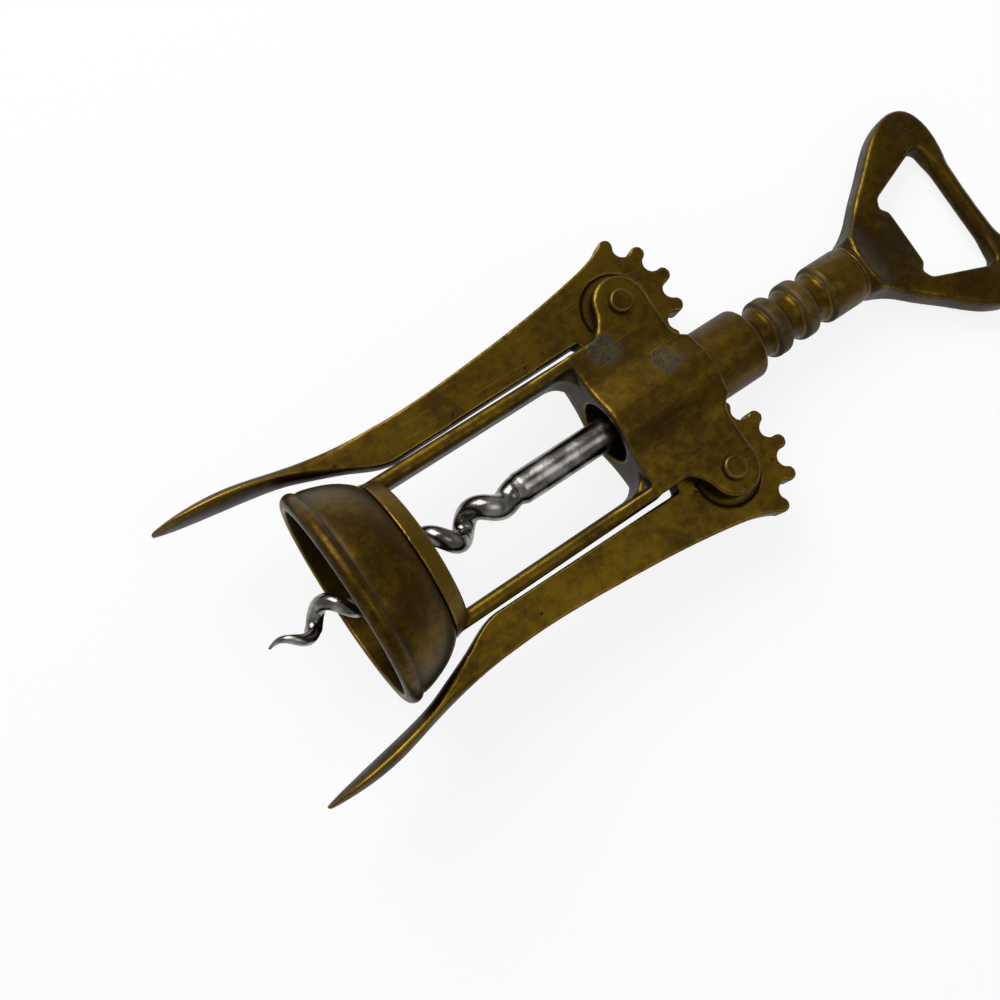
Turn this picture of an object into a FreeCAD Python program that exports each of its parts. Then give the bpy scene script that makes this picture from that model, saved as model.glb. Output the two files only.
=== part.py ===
import FreeCAD, Part
import math
import os

# Wing corkscrew: a brass bell, frame, wings, rack and cap-lifter handle, and a steel worm.
# It lies on its back. The origin is the centre of the bell's open mouth, +X runs along the
# spindle to the handle, and the XY plane is the plane in which the wings swing.

# Fits and gaps
RUNNING_FIT = 0.08        # radial, of what slides or turns in a bore
END_PLAY = 0.15           # along the spindle, between faces that turn against each other
SIDE_PLAY = 0.2           # beside a wing's plate in its slot
SWING_GAP = 0.45          # around a wing's wheel as it turns
BACKLASH = 0.9            # along the rack, between a tooth and the rings beside it
ARM_GAP = 0.5             # between a lowered wing and the strut
PADDLE_GAP = 1.3          # between a lowered wing and the bell

# Bell
BELL_RADIUS = 19.05
BELL_DEPTH = 11.7
BELL_WALL = 2.2
LIP_ROUND = 1.45
LIP_EDGE = 0.4
BEAD_STEP = 0.55
CROWN_WALL = 1.7
SEAT_RADIUS = 12.9
SPIGOT_RADIUS = 9.6
SWAGE_WIDTH = 0.9
SWAGE_DEPTH = 0.6

# Frame
BASE_HEIGHT = 3.0
BASE_BEVEL = 1.25
BASE_HOLE_RADIUS = 8.0
STRUT_INNER = 11.2
STRUT_WIDTH = 2.7
STRUT_DEPTH = 6.6
STRUT_ROUND = 1.1
STRUT_FLARE = 7.0
HEAD_X = 51.3             # from the bell's mouth to the head's underside
HEAD_LENGTH = 20.3
HEAD_DEPTH = 10.4
HUMP_WALL = 1.1
HUMP_BLEND = 12.0
WINDOW_CORNER = 3.5
PIVOT_ABOVE_HEAD = 13.55
EAR_RADIUS = 4.7
EAR_BOSS_RADIUS = 4.6

# Guide collar
COLLAR_WALL = 0.97
COLLAR_SEAT_DEPTH = 5.1
COLLAR_REACH = 10.2
COLLAR_ROUND = 0.6

# Rack sleeve
RACK_RADIUS = 5.45
RACK_ABOVE_HEAD = 3.7
RACK_LENGTH = 50.7
RACK_CAP_LENGTH = 6.8
RING_PITCH = 6.2
RING_WIDTH = 2.7
RING_HEIGHT = 1.35
RING_SLOPE = 15.0         # degrees, of a ring's flank
RING_ADDENDUM = 0.69

# Wings
GEAR_TEETH = 12           # that a whole wheel would have
WING_TEETH = 7
FIRST_TOOTH = 63.5        # degrees from the spindle's direction
GEAR_ADDENDUM = 0.36
GEAR_DEPTH = 2.8
TOOTH_CREST = 0.95
TOOTH_FOOT = 1.4
PLATE_THICKNESS = 4.0
SPOTFACE_RADIUS = 6.0
SPOTFACE_DEPTH = 0.45
WING_LENGTH = 83.5        # from the pivot to the tip, along the spindle
ARM_WIDTH = 6.5
PADDLE_THICKNESS = 2.5
PADDLE_HEIGHT = 8.4
TIP_HEIGHT = 2.0
TIP_SPREAD = 3.9          # of the tip beyond the paddle's start

# Rivets
RIVET_RADIUS = 1.5
RIVET_HEAD_RADIUS = 2.1
RIVET_HEAD_HEIGHT = 0.95
RIVET_HEAD_BEVEL = 0.3

# Worm
SHANK_RADIUS = 2.84
SHANK_BELOW_RACK = 21.0
SHANK_CONE = 1.2
CONE_END_RADIUS = 2.3
TENON_RADIUS = 1.9
TENON_LENGTH = 6.0
WORM_RADIUS = 3.7
WORM_END_RADIUS = 3.25    # where the point begins
WIRE_RADIUS = 1.75
WIRE_END_RADIUS = 1.35
WORM_PITCH = 9.4
WORM_LENGTH = 47.1        # from the end of the shank to the tip
RUN_IN_LENGTH = 13.4      # over which the wire swings out from the shank
RUN_IN_OVERLAP = 0.4
RUN_IN_ORBIT = 0.2
RUN_IN_WIRE = 2.5
WORM_CLOCK = 189.5        # degrees about +X from +Y, of the helix where its run-in ends
POINT_LENGTH = 7.5
POINT_RADIUS = 0.25
POINT_OFFSET = 0.4
BEAD_RISE = 0.03

# Neck washer and snap ring
WASHER_THICKNESS = 0.9
NECK_STEP = 0.25
SNAP_RING_THICKNESS = 0.8
SNAP_RING_WIDTH = 1.5
SNAP_RING_BITE = 0.45

# Cap-lifter handle
NECK_LENGTH = 0.45
HANDLE_LENGTH = 30.1
HANDLE_HALF_WIDTH = 20.85
HANDLE_THICKNESS = 4.6
NECK_FLARE = 6.0
LIP_DEPTH = 13.55
LIP_HALF_WIDTH = 5.75
LIP_THICKNESS = 2.2
LIP_SLOPE_LENGTH = 5.5
NOTCH_DEPTH = 1.65
NOTCH_WIDTH = 2.8
OPENING_HALF_WIDTH = 12.5
FAR_BAR = 3.6
FAR_BAR_THICKNESS = 3.8
FAR_BAR_BOW = 0.6

# Places along the spindle
BASE_TOP_X = BELL_DEPTH + BASE_HEIGHT
SEAT_X = BELL_DEPTH - CROWN_WALL
PIVOT_X = HEAD_X + PIVOT_ABOVE_HEAD
SHOULDER_X = HEAD_X + HEAD_LENGTH
COLLAR_X = SHOULDER_X - COLLAR_SEAT_DEPTH
COLLAR_END_X = SHOULDER_X + COLLAR_REACH
RACK_X = HEAD_X + RACK_ABOVE_HEAD
RACK_END_X = RACK_X + RACK_LENGTH
WASHER_X = RACK_END_X + END_PLAY
NECK_X = WASHER_X + WASHER_THICKNESS
SNAP_RING_X = RACK_X - END_PLAY - SNAP_RING_THICKNESS
SHANK_X = RACK_X - SHANK_BELOW_RACK
HELIX_X = SHANK_X + RUN_IN_OVERLAP - RUN_IN_LENGTH
WORM_TIP_X = SHANK_X - WORM_LENGTH
TIP_X = PIVOT_X - WING_LENGTH

# Sizes that follow from the values above
PITCH_RADIUS = GEAR_TEETH * RING_PITCH / (2 * math.pi)
TOOTH_THICKNESS = RING_PITCH - RING_WIDTH - BACKLASH
GEAR_TIP_RADIUS = PITCH_RADIUS + GEAR_ADDENDUM
GEAR_ROOT_RADIUS = GEAR_TIP_RADIUS - GEAR_DEPTH
TOOTH_CREST_RADIUS = GEAR_TIP_RADIUS - TOOTH_CREST
TOOTH_FOOT_RADIUS = GEAR_TIP_RADIUS - TOOTH_FOOT
PIVOT_Y = PITCH_RADIUS + RACK_RADIUS - RING_ADDENDUM
GUIDE_RADIUS = RACK_RADIUS + RUNNING_FIT
COLLAR_RADIUS = GUIDE_RADIUS + COLLAR_WALL
HUMP_RADIUS = COLLAR_RADIUS + HUMP_WALL
NECK_RADIUS = RACK_RADIUS - NECK_STEP
BORE_RADIUS = BELL_RADIUS - BELL_WALL
SWAGE_RADIUS = SPIGOT_RADIUS + SWAGE_WIDTH
STRUT_OUTER = STRUT_INNER + STRUT_WIDTH
CROWN_RADIUS = math.hypot(STRUT_OUTER, STRUT_DEPTH / 2) + 0.2
ARM_Y = STRUT_OUTER + ARM_GAP
PADDLE_Y = BELL_RADIUS + PADDLE_GAP
HALF_HEAD = HEAD_DEPTH / 2
HALF_PLATE = PLATE_THICKNESS / 2
HALF_SLOT = HALF_PLATE + SIDE_PLAY
SNAP_RING_BORE = SHANK_RADIUS - SNAP_RING_BITE

ORIGIN = FreeCAD.Vector(0, 0, 0)
ALONG = FreeCAD.Vector(1, 0, 0)
ACROSS = FreeCAD.Vector(0, 1, 0)
UP = FreeCAD.Vector(0, 0, 1)


def at(x, y, z=0.0):
    return FreeCAD.Vector(x, y, z)


def rod(radius, start_x, end_x):
    """A cylinder on the spindle's axis."""
    return Part.makeCylinder(radius, end_x - start_x, at(start_x, 0), ALONG)


def tube(outer, inner, start_x, end_x):
    return rod(outer, start_x, end_x).cut(rod(inner, start_x - 1, end_x + 1))


def post(radius, x, y, bottom, top):
    """A cylinder along Z."""
    return Part.makeCylinder(radius, top - bottom, at(x, y, bottom), UP)


def lines(*points):
    return [Part.makeLine(a, b) for a, b in zip(points, points[1:])]


def arc(start, middle, end):
    return Part.Arc(start, middle, end).toShape()


def curve(*points):
    spline = Part.BSplineCurve()
    spline.interpolate(list(points))
    return spline.toShape()


def quarter(start, corner, end):
    """A quarter circle from start to end, bulging towards the corner."""
    centre = start + end - corner
    return arc(start, centre + (corner - centre) * math.sqrt(0.5), end)


def turned(edges):
    """A solid of revolution about the spindle from a closed half profile."""
    return Part.Face(Part.Wire(edges)).revolve(ORIGIN, ALONG, 360)


def slab(edges, direction, half_thickness):
    """A plate of the closed outline, half_thickness to each side of the outline's plane."""
    face = Part.Face(Part.Wire(edges))
    face.translate(direction * -half_thickness)
    return face.extrude(direction * (2 * half_thickness))


def mirrored(shape):
    """The same shape on the spindle's other side."""
    return shape.mirror(ORIGIN, ACROSS)


def both_sides(edges):
    """A closed outline from edges that run from +Y's start to its end on the axis."""
    return edges + [mirrored(edge) for edge in reversed(edges)]


def one_solid(shape):
    """The merged shape without the seams between its parts."""
    return shape.removeSplitter().Solids[0]


# Bell: a turned cup with a rounded lip, a bead, a domed skirt and a flat crown

def make_bell():
    lip_y = BELL_RADIUS - LIP_ROUND
    bead_end = at(LIP_ROUND * (1 + math.cos(math.radians(30))), lip_y + LIP_ROUND / 2)
    bead_middle = at(LIP_ROUND * 1.5, lip_y + LIP_ROUND * math.cos(math.radians(30)))
    bead_top = at(LIP_ROUND, BELL_RADIUS)
    skirt = at(bead_end.x + 0.1, BELL_RADIUS - BEAD_STEP)
    crown = at(BELL_DEPTH, CROWN_RADIUS)
    dome = skirt + at((crown.x - skirt.x) * 0.52, (crown.y - skirt.y) * 0.3)
    seat = at(SEAT_X, SEAT_RADIUS)
    skirt_inside = at(SEAT_X * 0.45, BORE_RADIUS)
    dome_inside = at(SEAT_X * 0.75, SEAT_RADIUS + (BORE_RADIUS - SEAT_RADIUS) * 0.64)
    lip_inside = at(LIP_EDGE, BORE_RADIUS)
    edges = [quarter(lip_inside, at(0, BORE_RADIUS), at(0, BORE_RADIUS + LIP_EDGE))]
    edges += lines(at(0, BORE_RADIUS + LIP_EDGE), at(0, lip_y))
    edges.append(quarter(at(0, lip_y), at(0, BELL_RADIUS), bead_top))
    edges.append(arc(bead_top, bead_middle, bead_end))
    edges += lines(bead_end, skirt)
    edges.append(arc(skirt, dome, crown))
    edges += lines(
        crown,
        at(BELL_DEPTH, SPIGOT_RADIUS),
        at(SEAT_X + SWAGE_DEPTH, SPIGOT_RADIUS),
        at(SEAT_X + SWAGE_DEPTH, SWAGE_RADIUS),
        at(SEAT_X, SWAGE_RADIUS),
        seat,
    )
    edges.append(arc(seat, dome_inside, skirt_inside))
    edges += lines(skirt_inside, lip_inside)
    return turned(edges)


# Frame: one casting, a base ring swaged into the bell, two struts and the head

def base_ring():
    top = at(BASE_TOP_X, CROWN_RADIUS - BASE_BEVEL)
    lip = at(SEAT_X + 0.05, SWAGE_RADIUS - 0.3)
    return turned(lines(
        at(lip.x, BASE_HOLE_RADIUS),
        at(top.x, BASE_HOLE_RADIUS),
        top,
        at(BELL_DEPTH, CROWN_RADIUS - 0.1),
        at(BELL_DEPTH, SPIGOT_RADIUS),
        at(SEAT_X + SWAGE_DEPTH, SPIGOT_RADIUS),
        at(SEAT_X + SWAGE_DEPTH, SWAGE_RADIUS),
        lip,
        at(lip.x, BASE_HOLE_RADIUS),
    ))


def strut():
    """A bar of rounded section from the base ring to the head, deeper where it meets the head."""
    half = STRUT_DEPTH / 2
    end_x = HEAD_X + 1
    bar = Part.makeBox(end_x - BELL_DEPTH, STRUT_WIDTH, STRUT_DEPTH, at(BELL_DEPTH, STRUT_INNER, -half))
    long_edges = [edge for edge in bar.Edges if edge.BoundBox.XLength > 1]
    flare_x = HEAD_X - STRUT_FLARE
    flare = slab(
        lines(
            at(flare_x, 0, half),
            at(end_x, 0, HALF_HEAD),
            at(end_x, 0, -HALF_HEAD),
            at(flare_x, 0, -half),
            at(flare_x, 0, half),
        ),
        ACROSS,
        STRUT_WIDTH / 2 - 0.4,
    )
    flare.translate(at(0, STRUT_INNER + STRUT_WIDTH / 2))
    return bar.makeFillet(STRUT_ROUND, long_edges).fuse(flare)


def window_corner():
    """The rounded corner where a strut runs into the head's underside."""
    below = at(HEAD_X - WINDOW_CORNER, STRUT_INNER)
    beside = at(HEAD_X, STRUT_INNER - WINDOW_CORNER)
    edges = lines(below, below + at(0, 0.5), at(HEAD_X + 0.5, below.y + 0.5), beside + at(0.5, 0), beside)
    edges.append(quarter(beside, at(HEAD_X, STRUT_INNER), below))
    return slab(edges, UP, STRUT_DEPTH / 2)


def head_section():
    """The head's section across the spindle: two flat flanges and a hump over the rack."""
    reach = PIVOT_Y + EAR_RADIUS + 1
    centre_z = HALF_HEAD + HUMP_BLEND
    centre_y = math.sqrt((HUMP_RADIUS + HUMP_BLEND) ** 2 - centre_z ** 2)
    centre = at(HEAD_X, centre_y, centre_z)
    touch = at(HEAD_X, 0) + at(0, centre_y, centre_z) * (HUMP_RADIUS / (HUMP_RADIUS + HUMP_BLEND))
    foot = at(HEAD_X, centre_y, HALF_HEAD)
    middle = centre + ((touch + foot) * 0.5 - centre).normalize() * HUMP_BLEND
    quadrant = lines(at(HEAD_X, reach, 0), at(HEAD_X, reach, HALF_HEAD), foot)
    quadrant.append(arc(foot, middle, touch))
    angle = math.atan2(touch.y, touch.z) / 2
    crest = at(HEAD_X, HUMP_RADIUS * math.sin(angle), HUMP_RADIUS * math.cos(angle))
    quadrant.append(arc(touch, crest, at(HEAD_X, 0, HUMP_RADIUS)))
    half = quadrant + [mirrored(edge) for edge in reversed(quadrant)]
    below = [edge.mirror(ORIGIN, UP) for edge in reversed(half)]
    return Part.Face(Part.Wire(half + below)).extrude(ALONG * HEAD_LENGTH)


def head_outline():
    """The head's outline on the wings' plane, with an ear round each pivot."""
    side_y = STRUT_OUTER - 0.3
    lean = math.radians(15)
    ear = at(PIVOT_X - EAR_RADIUS * math.cos(lean), PIVOT_Y + EAR_RADIUS * math.sin(lean))
    ear_end = at(PIVOT_X + EAR_RADIUS, PIVOT_Y)
    flank = at(ear.x - 3.0, side_y)
    flank_middle = at(ear.x - 1.3, side_y + (ear.y - side_y) * 0.38)
    neck = at(ear_end.x, COLLAR_RADIUS + 2.5)
    shoulder = at(SHOULDER_X, COLLAR_RADIUS - 0.5)
    side = lines(at(HEAD_X, 0), at(HEAD_X, side_y), flank)
    side.append(arc(flank, flank_middle, ear))
    side.append(arc(ear, at(PIVOT_X, PIVOT_Y + EAR_RADIUS), ear_end))
    side += lines(ear_end, neck)
    side.append(curve(neck, at(neck.x + 0.7, COLLAR_RADIUS + 0.5), shoulder))
    side += lines(shoulder, at(SHOULDER_X, 0))
    return slab(both_sides(side), UP, HUMP_RADIUS + 1)


def wheel_slots():
    """The room for the wings' wheels, less the bosses inside the ears."""
    wheel = post(GEAR_TIP_RADIUS + SWING_GAP, PIVOT_X, PIVOT_Y, -HALF_SLOT, HALF_SLOT)
    boss_z = HALF_SLOT - SPOTFACE_DEPTH
    wheel = wheel.cut(post(EAR_BOSS_RADIUS, PIVOT_X, PIVOT_Y, boss_z, HALF_SLOT))
    wheel = wheel.cut(post(EAR_BOSS_RADIUS, PIVOT_X, PIVOT_Y, -HALF_SLOT, -boss_z))
    return wheel, mirrored(wheel)


def make_frame():
    frame = base_ring()
    for piece in (strut(), window_corner()):
        frame = frame.fuse(piece).fuse(mirrored(piece))
    frame = frame.fuse(head_section().common(head_outline()))
    frame = frame.cut(rod(GUIDE_RADIUS, HEAD_X - 1, SHOULDER_X))
    frame = frame.cut(rod(COLLAR_RADIUS, COLLAR_X, SHOULDER_X + 1))
    for slot in wheel_slots():
        frame = frame.cut(slot)
    rivet_hole = post(RIVET_RADIUS, PIVOT_X, PIVOT_Y, -HALF_HEAD - 1, HALF_HEAD + 1)
    frame = frame.cut(rivet_hole).cut(mirrored(rivet_hole))
    return one_solid(frame)


# Guide collar: a turned tube pressed into the head, in which the rack slides

def make_guide_collar():
    rim = at(COLLAR_END_X, COLLAR_RADIUS)
    edges = lines(
        rim - at(0, COLLAR_ROUND),
        at(rim.x, GUIDE_RADIUS),
        at(COLLAR_X, GUIDE_RADIUS),
        at(COLLAR_X, COLLAR_RADIUS),
        rim - at(COLLAR_ROUND, 0),
    )
    edges.append(quarter(rim - at(COLLAR_ROUND, 0), rim, rim - at(0, COLLAR_ROUND)))
    collar = turned(edges)
    for slot in wheel_slots():
        collar = collar.cut(slot)
    return one_solid(collar)


# Rack sleeve: a turned tube whose rings are the rack for the wings' teeth

def make_rack_sleeve():
    tooth_turn = 360 / GEAR_TEETH
    first_turn = FIRST_TOOTH + 90
    offset = math.radians(first_turn - tooth_turn * round(first_turn / tooth_turn))
    mesh_x = PIVOT_X + PITCH_RADIUS * offset
    half_gap = (RING_PITCH - RING_WIDTH) / 2
    half_floor = half_gap - RING_HEIGHT * math.tan(math.radians(RING_SLOPE))
    floor_y = RACK_RADIUS - RING_HEIGHT
    first = math.ceil((RACK_X + half_gap + 1 - mesh_x) / RING_PITCH)
    last = math.floor((RACK_END_X - RACK_CAP_LENGTH - half_gap - mesh_x) / RING_PITCH)
    sleeve = tube(RACK_RADIUS, SHANK_RADIUS + RUNNING_FIT, RACK_X, RACK_END_X)
    for k in range(first, last + 1):
        x = mesh_x + k * RING_PITCH
        sleeve = sleeve.cut(turned(lines(
            at(x - half_floor, floor_y),
            at(x + half_floor, floor_y),
            at(x + half_gap, RACK_RADIUS),
            at(x + half_gap, RACK_RADIUS + 1),
            at(x - half_gap, RACK_RADIUS + 1),
            at(x - half_gap, RACK_RADIUS),
            at(x - half_floor, floor_y),
        )))
    return one_solid(sleeve)


# Wings: cast levers, each with a toothed wheel at its pivot and a paddle for the thumb

def wheel_point(radius, degrees):
    angle = math.radians(degrees)
    return at(PIVOT_X + radius * math.cos(angle), PIVOT_Y + radius * math.sin(angle))


def tooth_half_angle(radius):
    """Degrees from a tooth's middle to its involute flank at this radius."""
    slope = math.radians(RING_SLOPE)
    base = PITCH_RADIUS * math.cos(slope)
    at_base = TOOTH_THICKNESS / (2 * PITCH_RADIUS) + math.tan(slope) - slope
    rolled = math.acos(base / max(radius, base))
    return math.degrees(at_base - math.tan(rolled) + rolled)


def tooth(middle):
    """A tooth's outline in order of rising angle: a flank, a round crest and a flank."""
    foot_half = tooth_half_angle(TOOTH_FOOT_RADIUS)
    crest_half = tooth_half_angle(TOOTH_CREST_RADIUS)
    rising = wheel_point(TOOTH_CREST_RADIUS, middle - crest_half)
    falling = wheel_point(TOOTH_CREST_RADIUS, middle + crest_half)
    edges = lines(wheel_point(TOOTH_FOOT_RADIUS, middle - foot_half), rising)
    edges.append(arc(rising, wheel_point(GEAR_TIP_RADIUS, middle), falling))
    edges += lines(falling, wheel_point(TOOTH_FOOT_RADIUS, middle + foot_half))
    return edges


def wing_outline():
    tooth_turn = 360 / GEAR_TEETH
    last_tooth = FIRST_TOOTH - tooth_turn * (WING_TEETH - 1)
    foot_half = tooth_half_angle(TOOTH_FOOT_RADIUS)
    edges = []
    for k in range(WING_TEETH - 1):
        middle = last_tooth + k * tooth_turn
        edges += tooth(middle)
        foot = wheel_point(TOOTH_FOOT_RADIUS, middle + foot_half)
        floor = wheel_point(GEAR_ROOT_RADIUS, middle + tooth_turn / 2)
        edges.append(arc(foot, floor, wheel_point(TOOTH_FOOT_RADIUS, middle + tooth_turn - foot_half)))
    edges += tooth(FIRST_TOOTH)[:-1]

    arm_outer_y = ARM_Y + ARM_WIDTH
    paddle_outer_y = PADDLE_Y + PADDLE_THICKNESS
    lip_x = LIP_ROUND
    tip = at(TIP_X, PADDLE_Y + TIP_SPREAD)
    paddle = lip_x - TIP_X
    outer = [
        edges[-1].Vertexes[-1].Point,
        wheel_point(GEAR_ROOT_RADIUS + 0.2, FIRST_TOOTH + 18),
        at(PIVOT_X - 3.75, PIVOT_Y + 8.2),
        at(PIVOT_X - 12.85, arm_outer_y + 2.4),
        at(HEAD_X - 14.0, arm_outer_y + 0.8),
        at(BELL_DEPTH + 14.0, arm_outer_y),
        at(BELL_DEPTH + 1.5, max(arm_outer_y, paddle_outer_y - 2.4) + 0.4),
        at(lip_x, paddle_outer_y + 0.4),
        at(lip_x - paddle * 0.37, paddle_outer_y + 2.0),
        at(lip_x - paddle * 0.7, paddle_outer_y + 2.4),
        tip + at(0.5, 0.6),
    ]
    inner = [
        tip,
        at(lip_x - paddle * 0.62, PADDLE_Y + 2.5),
        at(lip_x - paddle * 0.26, PADDLE_Y + 1.4),
        at(lip_x + 1.4, PADDLE_Y),
        at(BELL_DEPTH - 3.7, PADDLE_Y - 1.9),
        at(BELL_DEPTH + 0.3, (PADDLE_Y + ARM_Y) / 2 - 0.5),
        at(BELL_DEPTH + 4.0, ARM_Y + 0.8),
        at(BELL_DEPTH + 9.0, ARM_Y),
    ]
    heel_turn = last_tooth - 53
    heel = wheel_point(GEAR_ROOT_RADIUS, heel_turn)
    throat = wheel_point(GEAR_ROOT_RADIUS, last_tooth - 13)
    edges.append(curve(*outer))
    edges += lines(outer[-1], tip)
    edges.append(curve(*inner))
    edges += lines(inner[-1], at(HEAD_X + 0.5, ARM_Y + 0.4), heel)
    edges.append(arc(heel, wheel_point(GEAR_ROOT_RADIUS, heel_turn + 20), throat))
    edges += lines(throat, edges[0].Vertexes[0].Point)
    return Part.Face(Part.Wire(edges))


def wing_side():
    """The wing seen edge on: a flat plate that deepens to the paddle and narrows to its tip."""
    half = PADDLE_HEIGHT / 2
    plate_x = BELL_DEPTH + 5.0
    length = plate_x - TIP_X
    far_x = PIVOT_X + GEAR_TIP_RADIUS + 1
    upper = [
        at(plate_x, 0, HALF_PLATE),
        at(plate_x - length * 0.25, 0, HALF_PLATE + (half - HALF_PLATE) * 0.3),
        at(plate_x - length * 0.52, 0, HALF_PLATE + (half - HALF_PLATE) * 0.92),
        at(plate_x - length * 0.72, 0, half),
        at(plate_x - length * 0.93, 0, half * 0.62),
        at(TIP_X, 0, TIP_HEIGHT / 2),
    ]
    top = lines(at(far_x, 0, 0), at(far_x, 0, HALF_PLATE), upper[0])
    top.append(curve(*upper))
    top += lines(upper[-1], at(TIP_X, 0, 0))
    edges = top + [edge.mirror(ORIGIN, UP) for edge in reversed(top)]
    return Part.Face(Part.Wire(edges)).extrude(ACROSS * (2 * PADDLE_Y + 20))


def make_wing():
    outline = wing_outline()
    outline.translate(at(0, 0, -PADDLE_HEIGHT))
    wing = outline.extrude(UP * (2 * PADDLE_HEIGHT)).common(wing_side())
    face_z = HALF_PLATE - SPOTFACE_DEPTH
    wing = wing.cut(post(SPOTFACE_RADIUS, PIVOT_X, PIVOT_Y, face_z, HALF_PLATE + 1))
    wing = wing.cut(post(SPOTFACE_RADIUS, PIVOT_X, PIVOT_Y, -HALF_PLATE - 1, -face_z))
    wing = wing.cut(post(RIVET_RADIUS + RUNNING_FIT, PIVOT_X, PIVOT_Y, -HALF_PLATE, HALF_PLATE))
    return one_solid(wing)


# Rivets: brass pins through the ears, headed over on both faces

def make_rivet():
    top_z = HALF_HEAD + RIVET_HEAD_HEIGHT
    head = post(RIVET_HEAD_RADIUS, PIVOT_X, PIVOT_Y, HALF_HEAD, top_z)
    rim = [edge for edge in head.Edges if edge.Closed and edge.BoundBox.ZMin > top_z - 0.1]
    head = head.makeChamfer(RIVET_HEAD_BEVEL, rim)
    rivet = post(RIVET_RADIUS, PIVOT_X, PIVOT_Y, -HALF_HEAD, HALF_HEAD)
    return one_solid(rivet.fuse(head).fuse(head.mirror(ORIGIN, UP)))


# Worm: a steel shank that turns inside the rack, drawn down to a wire helix with a point

def coil(start_x, length, clock, orbit, end_orbit, wire, end_wire):
    """Wire wound right-handed about the spindle from its tighter end at start_x.

    It runs towards the handle, or towards the mouth where length is negative."""
    lean = math.degrees(math.atan((end_orbit - orbit) / abs(length)))
    path = Part.makeHelix(WORM_PITCH, abs(length), orbit, lean)
    first = path.Edges[0]
    last = path.Edges[-1]
    start = first.FirstParameter
    end = last.LastParameter
    rings = [
        Part.Wire(Part.makeCircle(wire, first.valueAt(start), first.tangentAt(start))),
        Part.Wire(Part.makeCircle(end_wire, last.valueAt(end), last.tangentAt(end))),
    ]
    wound = Part.Wire(path).makePipeShell(rings, True, True)
    side = math.copysign(90, length)
    wound.rotate(ORIGIN, ACROSS, side)
    wound.rotate(ORIGIN, ALONG, clock + side)
    wound.translate(at(start_x, 0))
    return wound


def bead(x, clock, orbit, wire):
    """A ball just larger than the wire, over the place where two lengths of it meet."""
    angle = math.radians(clock)
    return Part.makeSphere(wire + BEAD_RISE, at(x, orbit * math.cos(angle), orbit * math.sin(angle)))


def make_worm():
    point_x = WORM_TIP_X + POINT_LENGTH
    point_clock = WORM_CLOCK + 360 * (point_x - HELIX_X) / WORM_PITCH
    orbit = WORM_RADIUS - WIRE_RADIUS
    end_orbit = WORM_END_RADIUS - WIRE_END_RADIUS
    length = HELIX_X - point_x
    tip_clock = point_clock - 360 * POINT_LENGTH / WORM_PITCH
    shank_clock = WORM_CLOCK + 360 * RUN_IN_LENGTH / WORM_PITCH
    shank_end_x = HELIX_X + RUN_IN_LENGTH
    worm = coil(point_x, length, point_clock, end_orbit, orbit, WIRE_END_RADIUS, WIRE_RADIUS)
    point = coil(WORM_TIP_X, POINT_LENGTH, tip_clock, POINT_OFFSET, end_orbit, POINT_RADIUS, WIRE_END_RADIUS)
    run_in = coil(shank_end_x, -RUN_IN_LENGTH, shank_clock, RUN_IN_ORBIT, orbit, RUN_IN_WIRE, WIRE_RADIUS)
    beads = [
        bead(HELIX_X, WORM_CLOCK, orbit, WIRE_RADIUS),
        bead(point_x, point_clock, end_orbit, WIRE_END_RADIUS),
    ]
    cone = Part.makeCone(CONE_END_RADIUS, SHANK_RADIUS, SHANK_CONE, at(SHANK_X - SHANK_CONE, 0), ALONG)
    groove = tube(SHANK_RADIUS + 1, SNAP_RING_BORE, SNAP_RING_X, SNAP_RING_X + SNAP_RING_THICKNESS)
    tenon = rod(TENON_RADIUS, NECK_X, NECK_X + TENON_LENGTH)
    shank = rod(SHANK_RADIUS, SHANK_X, NECK_X).fuse(cone).fuse(tenon).cut(groove)
    return one_solid(shank.fuse([worm, point, run_in] + beads))


# Neck washer and snap ring: they keep the rack sleeve in its place on the shank

def make_neck_washer():
    return tube(NECK_RADIUS, SHANK_RADIUS, WASHER_X, NECK_X)


def make_snap_ring():
    outer = SNAP_RING_BORE + SNAP_RING_WIDTH
    ring = tube(outer, SNAP_RING_BORE, SNAP_RING_X, SNAP_RING_X + SNAP_RING_THICKNESS)
    gap = Part.makeBox(SNAP_RING_THICKNESS, outer, 1.2, at(SNAP_RING_X, 0, -0.6))
    return ring.cut(gap)


# Handle: a cast loop whose lip lifts crown caps

def handle_outline():
    far_x = NECK_X + HANDLE_LENGTH
    flare_x = NECK_X + NECK_LENGTH
    wide = HANDLE_HALF_WIDTH
    span = far_x - flare_x
    rise = wide - NECK_RADIUS
    shoulder = [
        at(flare_x, NECK_RADIUS),
        at(flare_x + span * 0.05, NECK_RADIUS + rise * 0.03),
        at(flare_x + span * 0.233, NECK_RADIUS + rise * 0.294),
        at(flare_x + span * 0.428, NECK_RADIUS + rise * 0.588),
        at(flare_x + span * 0.614, NECK_RADIUS + rise * 0.863),
        at(flare_x + span * 0.74, NECK_RADIUS + rise * 0.975),
        at(flare_x + span * 0.836, wide),
        at(flare_x + span * 0.924, wide * 0.954),
        at(flare_x + span * 0.978, wide * 0.845),
        at(far_x, wide * 0.69),
        at(far_x - 0.2, wide * 0.5),
        at(far_x - 0.5, wide * 0.28),
        at(far_x - FAR_BAR_BOW, 0),
    ]
    side = lines(at(NECK_X, 0), at(NECK_X, NECK_RADIUS), shoulder[0])
    side.append(curve(*shoulder))
    return both_sides(side)


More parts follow.
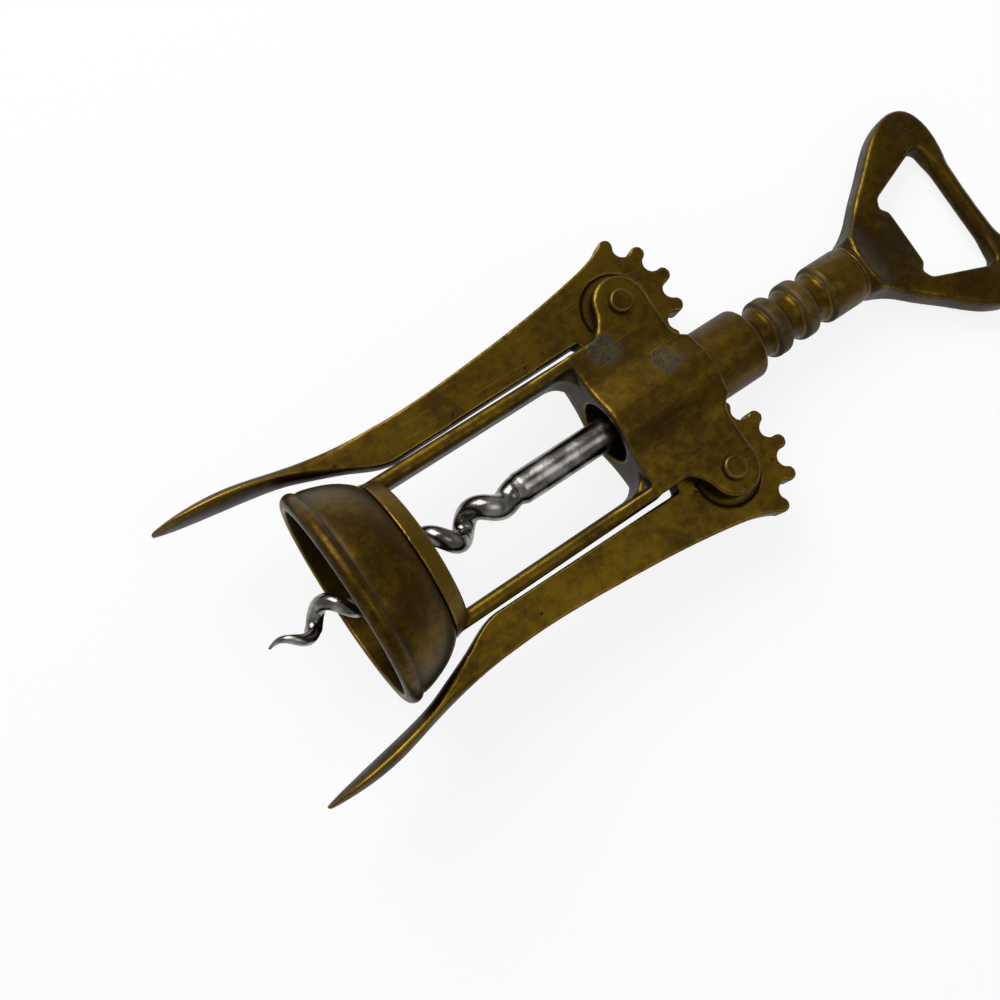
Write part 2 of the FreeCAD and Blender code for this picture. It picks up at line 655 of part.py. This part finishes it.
def handle_opening():
    lip_x = NECK_X + LIP_DEPTH
    far_x = NECK_X + HANDLE_LENGTH - FAR_BAR_BOW - FAR_BAR
    notch_y = LIP_HALF_WIDTH + NOTCH_WIDTH / 2
    wide = OPENING_HALF_WIDTH
    notch_start = at(lip_x - NOTCH_DEPTH + 0.5, notch_y - 0.6)
    notch_end = at(lip_x - NOTCH_DEPTH + 0.5, LIP_HALF_WIDTH + NOTCH_WIDTH)
    corner = at(far_x - 2.6, wide)
    side = lines(at(lip_x, 0), at(lip_x, LIP_HALF_WIDTH), notch_start)
    side.append(arc(notch_start, at(lip_x - NOTCH_DEPTH, notch_y + 0.45), notch_end))
    side += lines(notch_end, corner)
    side.append(arc(corner, at(far_x - 0.45, wide - 0.25), at(far_x, wide - 1.9)))
    side += lines(at(far_x, wide - 1.9), at(far_x, 0))
    return both_sides(side)


def handle_side():
    """The handle seen edge on: round at the neck, then a flat plate."""
    half = HANDLE_THICKNESS / 2
    flare_x = NECK_X + NECK_LENGTH
    end_x = NECK_X + HANDLE_LENGTH + 1
    top = lines(at(NECK_X, 0, 0), at(NECK_X, 0, NECK_RADIUS), at(flare_x, 0, NECK_RADIUS))
    top.append(curve(
        at(flare_x, 0, NECK_RADIUS),
        at(flare_x + NECK_FLARE * 0.35, 0, half + (NECK_RADIUS - half) * 0.5),
        at(flare_x + NECK_FLARE, 0, half),
    ))
    bar_x = NECK_X + HANDLE_LENGTH - FAR_BAR - FAR_BAR_BOW
    bar_half = FAR_BAR_THICKNESS / 2
    top += lines(
        at(flare_x + NECK_FLARE, 0, half),
        at(bar_x - 3, 0, half),
        at(bar_x, 0, bar_half),
        at(end_x, 0, bar_half),
        at(end_x, 0, 0),
    )
    return top + [edge.mirror(ORIGIN, UP) for edge in reversed(top)]


def neck_round():
    """A flare that keeps the handle's neck round where the plate grows out of it."""
    flare_x = NECK_X + NECK_LENGTH
    end_x = NECK_X + HANDLE_LENGTH + 2
    wide = HANDLE_HALF_WIDTH + 4
    edges = lines(at(NECK_X, 0), at(NECK_X, NECK_RADIUS), at(flare_x, NECK_RADIUS))
    edges.append(curve(
        at(flare_x, NECK_RADIUS),
        at(flare_x + NECK_FLARE * 0.5, NECK_RADIUS + 4.4),
        at(flare_x + NECK_FLARE, wide),
    ))
    edges += lines(at(flare_x + NECK_FLARE, wide), at(end_x, wide), at(end_x, 0), at(NECK_X, 0))
    return turned(edges)


def lip_slopes():
    """The wedges cut from both faces of the web so that it thins towards the lip."""
    lip_x = NECK_X + LIP_DEPTH
    half = HANDLE_THICKNESS / 2
    wedge = slab(
        lines(
            at(lip_x - LIP_SLOPE_LENGTH, 0, half + 0.01),
            at(lip_x, 0, LIP_THICKNESS / 2),
            at(lip_x + 0.5, 0, LIP_THICKNESS / 2),
            at(lip_x + 0.5, 0, half + 0.01),
            at(lip_x - LIP_SLOPE_LENGTH, 0, half + 0.01),
        ),
        ACROSS,
        LIP_HALF_WIDTH + NOTCH_WIDTH / 2,
    )
    return wedge, wedge.mirror(ORIGIN, UP)


def make_handle():
    handle = slab(handle_outline(), UP, NECK_RADIUS + 1)
    handle = handle.common(slab(handle_side(), ACROSS, HANDLE_HALF_WIDTH + 1))
    handle = handle.common(neck_round())
    handle = handle.cut(slab(handle_opening(), UP, HANDLE_THICKNESS))
    for wedge in lip_slopes():
        handle = handle.cut(wedge)
    handle = handle.cut(rod(TENON_RADIUS, NECK_X - 1, NECK_X + TENON_LENGTH))
    return one_solid(handle)


left_wing = make_wing()
left_rivet = make_rivet()
PIECES = {
    "bell": make_bell(),
    "frame": make_frame(),
    "guide_collar": make_guide_collar(),
    "left_rivet": left_rivet,
    "right_rivet": mirrored(left_rivet),
    "left_wing": left_wing,
    "right_wing": mirrored(left_wing),
    "rack_sleeve": make_rack_sleeve(),
    "worm": make_worm(),
    "neck_washer": make_neck_washer(),
    "snap_ring": make_snap_ring(),
    "handle": make_handle(),
}

os.makedirs("parts", exist_ok=True)
for name, piece in PIECES.items():
    piece.exportStep("parts/" + name + ".step")
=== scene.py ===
import math
import bmesh
import bpy
import numpy as np
from mathutils import Matrix, Vector


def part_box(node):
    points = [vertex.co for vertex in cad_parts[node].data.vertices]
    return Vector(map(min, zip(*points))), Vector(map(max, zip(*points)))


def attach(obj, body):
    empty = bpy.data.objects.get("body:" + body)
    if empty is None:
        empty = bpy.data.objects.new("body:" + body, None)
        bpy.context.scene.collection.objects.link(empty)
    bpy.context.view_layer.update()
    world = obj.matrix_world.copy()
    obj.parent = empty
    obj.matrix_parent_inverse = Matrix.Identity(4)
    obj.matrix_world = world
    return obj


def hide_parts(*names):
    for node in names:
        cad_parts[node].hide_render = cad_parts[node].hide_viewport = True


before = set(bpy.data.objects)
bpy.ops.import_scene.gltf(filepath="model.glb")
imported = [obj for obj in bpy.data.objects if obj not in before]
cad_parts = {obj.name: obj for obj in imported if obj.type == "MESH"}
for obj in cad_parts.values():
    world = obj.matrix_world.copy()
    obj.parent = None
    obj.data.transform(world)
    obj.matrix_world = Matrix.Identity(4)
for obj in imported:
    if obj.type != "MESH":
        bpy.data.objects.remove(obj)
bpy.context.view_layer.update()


# Camera: a phone held above the bell's end of the corkscrew, looking down on it. Its place and
# turn line up the bell's circles, the struts, the pivots and the rack's rings with the photo.
camera_data = bpy.data.cameras.new("camera")
camera_data.sensor_width = 36.0
camera_data.lens = 41.4
camera = bpy.data.objects.new("camera", camera_data)
picture_right = Vector((0.8118, -0.5570, 0.1753))
picture_up = Vector((0.5280, 0.8284, 0.1868))
towards_viewer = Vector((-0.2493, -0.0591, 0.9666))
camera_turn = Matrix((picture_right, picture_up, towards_viewer)).transposed().to_4x4()
camera.matrix_world = Matrix.Translation((-0.01612, -0.01075, 0.17949)) @ camera_turn
bpy.context.scene.collection.objects.link(camera)
bpy.context.scene.camera = camera


# Table: a plain white table that the corkscrew lies on. It is tipped so that it touches the
# bell's rim and the handle's far bar, the two places that the tool rests on.
class Paint:
    """Writes the nodes of one material or world."""

    def __init__(self, tree):
        self.tree = tree
        tree.nodes.clear()

    def node(self, kind, settings=None, out=0, **sockets):
        """Adds a node: its settings first, then the values or wires of its sockets."""
        made = self.tree.nodes.new("ShaderNode" + kind)
        for key, value in (settings or {}).items():
            setattr(made, key, value)
        for key, value in sockets.items():
            socket = made.inputs[int(key[1:]) if key[1:].isdigit() else key.replace("_", " ")]
            if isinstance(value, Wire):
                self.tree.links.new(value.socket, socket)
            else:
                socket.default_value = value
        return Wire(self, made.outputs[out]) if made.outputs else None

    def blend(self, amount, below, above):
        """Lays one colour over another."""
        return self.node("Mix", {"data_type": "RGBA"}, out=2, i0=amount, i6=below, i7=above)


class Wire:
    """A socket that can be added, multiplied and so on; each sum adds its own node."""

    def __init__(self, paint, socket):
        self.paint = paint
        self.socket = socket

    def math(self, operation, a, b):
        return self.paint.node("Math", {"operation": operation}, i0=a, i1=b)

    def __add__(self, other):
        return self.math("ADD", self, other)

    __radd__ = __add__

    def __sub__(self, other):
        return self.math("SUBTRACT", self, other)

    def __rsub__(self, other):
        return self.math("SUBTRACT", other, self)

    def __mul__(self, other):
        return self.math("MULTIPLY", self, other)

    __rmul__ = __mul__

    def between(self, low, high, start=0.0, end=1.0):
        """Runs smoothly from start to end while this runs from low to high."""
        return self.paint.node("MapRange", {"interpolation_type": "SMOOTHSTEP"}, i0=self,
                               i1=low, i2=high, i3=start, i4=end)


def new_material(name):
    made = bpy.data.materials.new(name)
    made.use_nodes = True
    return made, Paint(made.node_tree)


rim_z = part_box("bell")[0].z
bar_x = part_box("handle")[1].x
bar_z = -0.0019
slope = math.atan((bar_z - rim_z) / bar_x)
bm = bmesh.new()
bmesh.ops.create_grid(bm, x_segments=1, y_segments=1, size=3.0)
bmesh.ops.rotate(bm, cent=(0, 0, 0), matrix=Matrix.Rotation(-slope, 3, "Y"), verts=bm.verts)
bmesh.ops.translate(bm, vec=(0, 0, rim_z - 0.0002), verts=bm.verts)
table_mesh = bpy.data.meshes.new("table")
bm.to_mesh(table_mesh)
bm.free()
table = bpy.data.objects.new("table", table_mesh)
bpy.context.scene.collection.objects.link(table)
white_table, paint = new_material("white_table")
rays = paint.node("LightPath", out="Is Camera Ray") + paint.node("LightPath", out="Is Glossy Ray")
rays = rays + paint.node("LightPath", out="Is Transmission Ray")
matt = paint.node("BsdfDiffuse", Color=(0.80, 0.80, 0.80, 1))
white = paint.node("Emission", Color=(1, 1, 1, 1), Strength=1.0)
share = rays.between(0, 1, 0, 0.86)
paint.node("OutputMaterial", Surface=paint.node("MixShader", i0=share, i1=matt, i2=white))
table_mesh.materials.append(white_table)


# Light: a soft pale sky, a broad window above the left wing, and two weak lamps that fill in.
world = bpy.data.worlds.new("soft_sky")
bpy.context.scene.world = world
world.use_nodes = True
paint = Paint(world.node_tree)
direction = paint.node("TexCoord", out="Generated")
height = paint.node("SeparateXYZ", out=2, Vector=direction)
level = height.between(0.0, 0.9, 0.42, 0.32) + paint.node("LightPath", out="Is Camera Ray")
backdrop = paint.node("Background", Color=(1, 1, 1, 1), Strength=paint.node("Clamp", Value=level))
paint.node("OutputWorld", Surface=backdrop)


def add_lamp(name, offset, size, power):
    """A square lamp that faces the corkscrew, offset from it by right, up and towards the viewer."""
    data = bpy.data.lights.new(name, "AREA")
    data.size = size
    data.energy = power
    lamp = bpy.data.objects.new(name, data)
    place = picture_right * offset[0] + picture_up * offset[1] + towards_viewer * offset[2]
    lamp.location = Vector((0.05, 0, 0)) + place
    lamp.rotation_euler = (-place).to_track_quat("-Z", "Y").to_euler()
    bpy.context.scene.collection.objects.link(lamp)


add_lamp("window", (-0.25, 0.45, 0.45), 0.45, 4.8)
add_lamp("ceiling", (0.35, 0.05, 0.60), 0.35, 0.6)
add_lamp("room", (-0.30, -0.50, 0.30), 0.50, 0.25)


# Bell: a turned brass cup that sits over the bottle's lip, with a rolled bead round its mouth.
# Its brass has gone brown, with fine scratches round it and a bright, worn rim.
MM = 0.001


def seen_colour(red, green, blue):
    """A colour as an eye reads it off a screen, from 0 to 255, in the renderer's own terms."""
    shares = [part / 255 for part in (red, green, blue)]
    linear = [part / 12.92 if part < 0.0405 else ((part + 0.055) / 1.055) ** 2.4 for part in shares]
    return (*linear, 1.0)


def measure_surface(mesh):
    """Writes how far each point stands out, how deep it lies in a hollow and how steep it is."""
    count = len(mesh.vertices)
    places = np.empty(count * 3)
    normals = np.empty(count * 3)
    ends = np.empty(len(mesh.edges) * 2, dtype=int)
    mesh.vertices.foreach_get("co", places)
    mesh.vertices.foreach_get("normal", normals)
    mesh.edges.foreach_get("vertices", ends)
    places = places.reshape(-1, 3)
    normals = normals.reshape(-1, 3)
    first, second = ends.reshape(-1, 2).T
    links = np.maximum(np.bincount(ends, minlength=count), 1)

    def gather(at_first, at_second):
        return (np.bincount(first, at_first, count) + np.bincount(second, at_second, count)) / links

    def spread(values, rounds):
        for _ in range(rounds):
            values = (values + gather(values[second], values[first])) / 2
        return values

    across = places[second] - places[first]
    squares = np.maximum((across ** 2).sum(axis=1), 1e-12)
    fall = -(across * normals[first]).sum(axis=1) / squares
    fall_back = (across * normals[second]).sum(axis=1) / squares
    bend = gather(fall, fall_back)
    # Steepness, spread a little, feeds the painted shade on the steep sides of the brass.
    steep = 1 - np.abs(normals[:, 2])
    measured = {
        "wear": 0.5 + spread(bend, 6) * 0.0006,
        "hollow": spread(-bend, 30) * 0.006,
        "side_shade": spread(steep, 4),
    }
    for name, values in measured.items():
        layer = mesh.attributes.new(name, "FLOAT", "POINT")
        layer.data.foreach_set("value", np.clip(values, 0, 1))


def finish_piece(name, bm, node, body, material):
    """Makes a piece of the shape, which stands for a node of the frame and moves with its body."""
    mesh = bpy.data.meshes.new(name)
    bm.to_mesh(mesh)
    bm.free()
    mesh.shade_smooth()
    measure_surface(mesh)
    mesh.materials.append(material)
    piece = bpy.data.objects.new(name, mesh)
    bpy.context.scene.collection.objects.link(piece)
    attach(piece, body)
    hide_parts(node)


def turn(profile, steps=256):
    """A shape turned about the spindle from the (x, radius) points in mm of its section."""
    bm = bmesh.new()
    points = [bm.verts.new((x * MM, radius * MM, 0)) for x, radius in profile]
    edges = [bm.edges.new(pair) for pair in zip(points, points[1:] + points[:1])]
    bmesh.ops.spin(bm, geom=points + edges, cent=(0, 0, 0), axis=(1, 0, 0),
                   angle=math.tau, steps=steps, use_merge=True)
    bmesh.ops.recalc_face_normals(bm, faces=bm.faces)
    return bm


def rounded(corners, steps=5):
    """A closed section in mm with its corners rounded, each given as x, radius and its reach."""
    line = []
    for before, corner, after in zip(corners[-1:] + corners, corners, corners[1:] + corners[:1]):
        middle = Vector(corner[:2])
        start = (Vector(before[:2]) - middle).normalized() * corner[2] + middle
        end = (Vector(after[:2]) - middle).normalized() * corner[2] + middle
        for k in range(steps + 1):
            t = k / steps
            line.append(start * (1 - t) ** 2 + middle * 2 * t * (1 - t) + end * t ** 2)
    return line


def old_brass(name, gold=0.5, pits=1.0, rings=0.0, side_shade_strength=0.8, hollow_dark_strength=0.8, patches=(), highlight_bands=()):
    """Aged brass: brown where it is dull, gold where hands rub it, painted shade on its steep sides."""
    made, paint = new_material(name)
    place = paint.node("TexCoord", out="Object")
    wear = paint.node("Attribute", {"attribute_name": "wear"}, out="Fac")
    hollow = paint.node("Attribute", {"attribute_name": "hollow"}, out="Fac")
    side_shade = paint.node("Attribute", {"attribute_name": "side_shade"}, out="Fac")
    cloud = paint.node("TexNoise", Vector=place, Scale=90.0, Detail=6.0, Roughness=0.6)
    mottle = paint.node("TexNoise", Vector=place, Scale=600.0, Detail=5.0, Roughness=0.62)
    grain = paint.node("TexNoise", Vector=place, Scale=3800.0, Detail=2.0)
    tone = cloud * 0.6 + mottle * 0.4

    colour = paint.blend((tone + (gold - 0.5)).between(0.38, 0.64),
                         seen_colour(56, 39, 5), seen_colour(94, 72, 13))
    colour = paint.blend((cloud * 0.5 + grain * 0.5).between(0.54, 0.68) * 0.4,
                         colour, seen_colour(84, 78, 30))
    rough = tone.between(0.3, 0.7, 0.46, 0.34)
    metal = tone.between(0.3, 0.7, 0.90, 1.0)
    height = mottle * 0.3 + grain * 0.2

    # Painted shade: steep sides are darkened as if the light fell away from them.
    shaded = (side_shade + (mottle - 0.5) * 0.3).between(0.25, 0.75) * side_shade_strength
    colour = paint.blend(shaded, colour, seen_colour(24, 16, 3))
    rough = rough + shaded * 0.12
    # Painted highlight: the given bands along x are lightened to gold, over the painted shade.
    for low, high in highlight_bands:
        along = paint.node("SeparateXYZ", Vector=place)
        highlight_band = along.between(low * MM, (low + 0.4) * MM) * along.between((high + 0.4) * MM, high * MM)
        highlight_band = highlight_band * mottle.between(0.30, 0.55, 0.55, 1.0)
        colour = paint.blend(highlight_band, colour, seen_colour(96, 74, 20))
    # Darker deep in hollows and grooves, as far as the measured hollowness reaches.
    hollow_dark = (hollow + (mottle - 0.5) * 0.3).between(0.30, 0.80)
    colour = paint.blend(hollow_dark * hollow_dark_strength, colour, seen_colour(14, 10, 3))
    rough = rough + hollow_dark * 0.2
    metal = metal - hollow_dark * 0.5
    edge = (wear + (mottle - 0.5) * 0.2).between(0.58, 0.76)
    colour = paint.blend(edge * 0.5, colour, seen_colour(120, 96, 36))
    rough = rough - edge * 0.08
    for centre, radius, strength in patches:
        away = paint.node("VectorMath", {"operation": "DISTANCE"}, out="Value",
                          i0=place, i1=[part * MM for part in centre])
        ragged = away * (1 / (radius * MM)) + (mottle - 0.5) * 1.6 + (cloud - 0.5) * 1.2
        patch = ragged.between(1.0, 0.55) * strength
        crust = (grain * 0.5 + mottle * 0.5).between(0.42, 0.58)
        crust_colour = paint.blend(crust, seen_colour(22, 17, 5), seen_colour(58, 50, 20))
        colour = paint.blend(patch, colour, crust_colour)
        rough = rough + patch * 0.2
        metal = metal - patch * 0.5
        height = height + patch * crust * 1.5

    cells = paint.node("TexVoronoi", Vector=place, Scale=480.0)
    lot = paint.node("TexVoronoi", Vector=place, Scale=480.0, out="Color")
    chosen = paint.node("SeparateColor", Color=lot).between(0.90, 0.94)
    pit = cells.between(0.20, 0.08) * chosen * pits
    colour = paint.blend(pit * 0.7, colour, seen_colour(16, 12, 4))
    height = height - pit
    for turned, amount in (((0.3, 0.2, 0.5), 0.30), ((0.1, 0.7, -0.7), 0.22)):
        lie = paint.node("Mapping", Vector=place, Rotation=turned, Scale=(70.0, 3000.0, 3000.0))
        line = paint.node("TexNoise", Vector=lie, Scale=1.0, Detail=1.0).between(0.66, 0.74) * amount
        colour = paint.blend(line * 0.5, colour, seen_colour(130, 108, 50))
        height = height - line * 0.4
    if rings:
        lathe = paint.node("Mapping", Vector=place, Scale=(9000.0, 40.0, 40.0))
        lines = paint.node("TexNoise", Vector=lathe, Scale=1.0, Detail=2.0)
        height = height + lines * rings
        rough = rough + (lines - 0.5) * 0.1
    bump = paint.node("Bump", Strength=0.3, Distance=0.00015, Height=height)
    surface = paint.node("BsdfPrincipled", Base_Color=colour, Metallic=metal, Roughness=rough,
                         Normal=bump)
    paint.node("OutputMaterial", Surface=surface)
    return made


def smooth_line(points, spacing=0.25):
    """Points in mm at an even spacing along a smooth curve through the given ones."""
    line = [Vector(points[0])]
    padded = [Vector(point) for point in points[:1] + points + points[-1:]]
    for before, start, end, after in zip(padded, padded[1:], padded[2:], padded[3:]):
        count = max(1, round((end - start).length / spacing))
        for k in range(1, count + 1):
            t = k / count
            bend = 2 * before - 5 * start + 4 * end - after
            twist = 3 * start - before - 3 * end + after
            line.append(start + ((end - before) * t + bend * t ** 2 + twist * t ** 3) / 2)
    return line


def arc_points(centre, radius, first, last, steps):
    """Points in mm along an arc, from one angle to another in degrees from the mouth's side."""
    angles = [math.radians(first + (last - first) * k / steps) for k in range(steps + 1)]
    return [(centre[0] - radius * math.cos(a), centre[1] + radius * math.sin(a)) for a in angles]


bell_inside = smooth_line([(10.0, 12.9), (9.0, 14.2), (7.5, 15.43), (6.0, 16.3), (4.5, 16.85),
                           (0.5, 16.85)])
bell_lip = arc_points((0.4, 17.25), 0.4, -90, 0, 5)
bell_bead = arc_points((1.46, 17.59), 1.45, 0, 145, 18)
bell_outside = smooth_line([(2.78, 18.38), (3.1, 18.42), (3.9, 18.3), (5.2, 17.95), (7.3, 17.2),
                            (9.0, 16.35), (10.5, 15.3), (11.1, 14.75), (11.5, 14.3), (11.6, 13.6)])
bell_crown = [(11.6, 9.6), (10.6, 9.6), (10.6, 10.5), (10.0, 10.5), (10.0, 11.5)]
bell_profile = bell_inside + bell_lip + bell_bead + bell_outside + bell_crown
bell_brass = old_brass("bell_brass", gold=0.47, rings=0.3, side_shade_strength=0.6)
finish_piece("bell_cup", turn(bell_profile), "bell", "body", bell_brass)


# Frame: one brass casting, the ring that is swaged into the bell, two struts and the head with
# its four ears. Its edges were rounded off in polishing and have worn bright.
def smooth(bm, rounds):
    """Moves each point halfway to the middle of its neighbours, a number of times."""
    for _ in range(rounds):
        bmesh.ops.smooth_vert(bm, verts=bm.verts, factor=0.5, use_axis_x=True, use_axis_y=True,
                              use_axis_z=True)


def soften(node, voxel, rounds):
    """A node of the frame as a close mesh with its sharp edges rounded off."""
    bm = bmesh.new()
    bm.from_mesh(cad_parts[node].data)
    bmesh.ops.remove_doubles(bm, verts=bm.verts, dist=2e-6)
    mesh = bpy.data.meshes.new("close_" + node)
    bm.to_mesh(mesh)
    bm.free()
    working = bpy.data.objects.new("close_" + node, mesh)
    bpy.context.scene.collection.objects.link(working)
    remesh = working.modifiers.new("close", "REMESH")
    remesh.mode = "VOXEL"
    remesh.voxel_size = voxel * MM
    bm = bmesh.new()
    bm.from_object(working, bpy.context.evaluated_depsgraph_get())
    bpy.data.objects.remove(working)
    smooth(bm, rounds)
    return bm


frame_patches = (((57.6, 11.4, 5.6), 3.4, 0.85), ((65.3, 4.4, 6.3), 3.2, 0.6))
# The ring that is swaged into the bell, from 11.6 to 14.9 mm, gets a painted highlight.
frame_brass = old_brass("frame_brass", gold=0.50, side_shade_strength=0.9, patches=frame_patches, highlight_bands=((11.6, 14.9),))
finish_piece("frame_casting", soften("frame", 0.25, 9), "frame", "body", frame_brass)


# Guide collar: a turned brass tube pressed into the head, in which the rack slides.
collar_brass = old_brass("collar_brass", gold=0.54, rings=0.5, side_shade_strength=0.7)
finish_piece("collar_tube", soften("guide_collar", 0.16, 5), "guide_collar", "body",
             collar_brass)


# Rivets: brass pins through the ears, on which the wings turn, headed over on both faces.
rivet_brass = old_brass("rivet_brass", gold=0.46, pits=0.4)
for side in ("left", "right"):
    finish_piece(side + "_pin", soften(side + "_rivet", 0.09, 4), side + "_rivet",
                 "body", rivet_brass)


# Wings: cast brass levers, each with a toothed wheel at its pivot and a paddle for the thumb,
# which the foundry rounded to a lens. Their steep sides are darkened with painted shade.
def round_paddle(bm, arm_x=20.0, paddle_x=1.0, step=0.5):
    """Turns the square section of the wing's end into a lens, from arm_x on to paddle_x in mm."""
    ends = [vert for vert in bm.verts if vert.co.x < arm_x * MM]
    slices = {}
    for vert in ends:
        slices.setdefault(round(vert.co.x / (step * MM)), []).append(vert)
    keys = sorted(slices)
    along = [key * step * MM for key in keys]
    low = [min(vert.co.y for vert in slices[key]) for key in keys]
    high = [max(vert.co.y for vert in slices[key]) for key in keys]
    top = [max(vert.co.z for vert in slices[key]) for key in keys]
    for vert in ends:
        x = vert.co.x
        near = np.interp(x, along, low)
        far = np.interp(x, along, high)
        tall = np.interp(x, along, top)
        middle = (near + far) / 2
        u = min(max((vert.co.y - middle) / (far - middle), -1), 1)
        v = min(max(vert.co.z / tall, -1), 1)
        t = min(max((arm_x * MM - x) / ((arm_x - paddle_x) * MM), 0), 1)
        amount = t * t * (3 - 2 * t)
        vert.co.y = middle + (far - middle) * u * (1 - amount + amount * math.sqrt(1 - v * v / 2))
        vert.co.z = tall * v * (1 - amount + amount * math.sqrt(1 - u * u / 2))


for side in ("left", "right"):
    wing_brass = old_brass(side + "_wing_brass", gold=0.52, side_shade_strength=0.85)
    lever = soften(side + "_wing", 0.22, 4)
    round_paddle(lever)
    smooth(lever, 1)
    finish_piece(side + "_lever_arm", lever, side + "_wing", side + "_lever", wing_brass)


# Rack sleeve: a turned brass tube with rings, in which the wings' teeth run. Its grooves and
# other hollows are darkened less than on the other brass pieces.
BORE_RADIUS = 2.92
RING_RADIUS = 5.4
GROOVE_RADIUS = 4.2
RING_PITCH = 6.2
FIRST_GROOVE = 4.373
GROOVES = 7
sleeve_start, sleeve_end = (corner.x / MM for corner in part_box("rack_sleeve"))
rack_section = [(sleeve_start, BORE_RADIUS, 0.2), (sleeve_start, RING_RADIUS, 0.5)]
for k in range(GROOVES):
    groove_x = sleeve_start + FIRST_GROOVE + RING_PITCH * k
    rack_section += [(groove_x - 1.8, RING_RADIUS, 0.7), (groove_x - 1.35, GROOVE_RADIUS, 0.6),
                     (groove_x + 1.35, GROOVE_RADIUS, 0.6), (groove_x + 1.8, RING_RADIUS, 0.7)]
rack_section += [(sleeve_end, RING_RADIUS, 0.5), (sleeve_end, BORE_RADIUS, 0.2)]
rack_brass = old_brass("rack_brass", gold=0.48, rings=0.5, side_shade_strength=0.7, hollow_dark_strength=0.35)
finish_piece("rack_rings", turn(rounded(rack_section), 192), "rack_sleeve", "rack",
             rack_brass)


# Worm: a polished steel shank drawn down to a helix that screws into the cork.
worm_steel, paint = new_material("worm_steel")
place = paint.node("TexCoord", out="Object")
smudge = paint.node("TexNoise", Vector=place, Scale=300.0, Detail=5.0)
turned_lines = paint.node("Mapping", Vector=place, Scale=(7000.0, 60.0, 60.0))
lines = paint.node("TexNoise", Vector=turned_lines, Scale=1.0, Detail=2.0)
colour = paint.blend(smudge.between(0.4, 0.65), seen_colour(100, 98, 92), seen_colour(156, 154, 148))
bump = paint.node("Bump", Strength=0.12, Distance=0.0001, Height=lines + smudge * 0.5)
steel = paint.node("BsdfPrincipled", Base_Color=colour, Metallic=1.0, Normal=bump,
                   Roughness=smudge.between(0.3, 0.7, 0.16, 0.30))
paint.node("OutputMaterial", Surface=steel)
finish_piece("worm_screw", soften("worm", 0.18, 3), "worm", "spindle", worm_steel)
finish_piece("shank_ring", soften("snap_ring", 0.12, 1), "snap_ring", "spindle",
             worm_steel)


# Neck washer: a dull brass ring between the rack and the handle.
washer_brass = old_brass("washer_brass", gold=0.38)
finish_piece("washer_disc", soften("neck_washer", 0.12, 1), "neck_washer", "spindle",
             washer_brass)


# Handle: a cast brass loop whose lip lifts crown caps, with thumb-worn edges.
def round_far_bar(bm, bar_x=129.5, arm_y=11.2, bar_y=6.5):
    """Turns the far bar's square section round between its two ends, in mm."""
    bar = [vert for vert in bm.verts if vert.co.x > bar_x * MM and abs(vert.co.y) < arm_y * MM]
    slices = {}
    for vert in bar:
        slices.setdefault(round(vert.co.y / (0.5 * MM)), []).append(vert)
    keys = sorted(slices)
    along = [key * 0.5 * MM for key in keys]
    low = [min(vert.co.x for vert in slices[key]) for key in keys]
    high = [max(vert.co.x for vert in slices[key]) for key in keys]
    tall = max(vert.co.z for vert in bar if abs(vert.co.y) < bar_y * MM)
    for vert in bar:
        near = np.interp(vert.co.y, along, low)
        far = np.interp(vert.co.y, along, high)
        middle = (near + far) / 2
        u = min(max((vert.co.x - middle) / (far - middle), -1), 1)
        v = min(max(vert.co.z / tall, -1), 1)
        t = min(max((arm_y * MM - abs(vert.co.y)) / ((arm_y - bar_y) * MM), 0), 1)
        amount = t * t * (3 - 2 * t)
        vert.co.x = middle + (far - middle) * u * (1 - amount + amount * math.sqrt(1 - v * v / 2))
        vert.co.z *= 1 - amount + amount * math.sqrt(1 - u * u / 2)


handle_brass = old_brass("handle_brass", gold=0.46, side_shade_strength=0.6)
loop = soften("handle", 0.25, 34)
round_far_bar(loop)
finish_piece("handle_loop", loop, "handle", "spindle", handle_brass)


bpy.context.scene.view_settings.view_transform = "Standard"
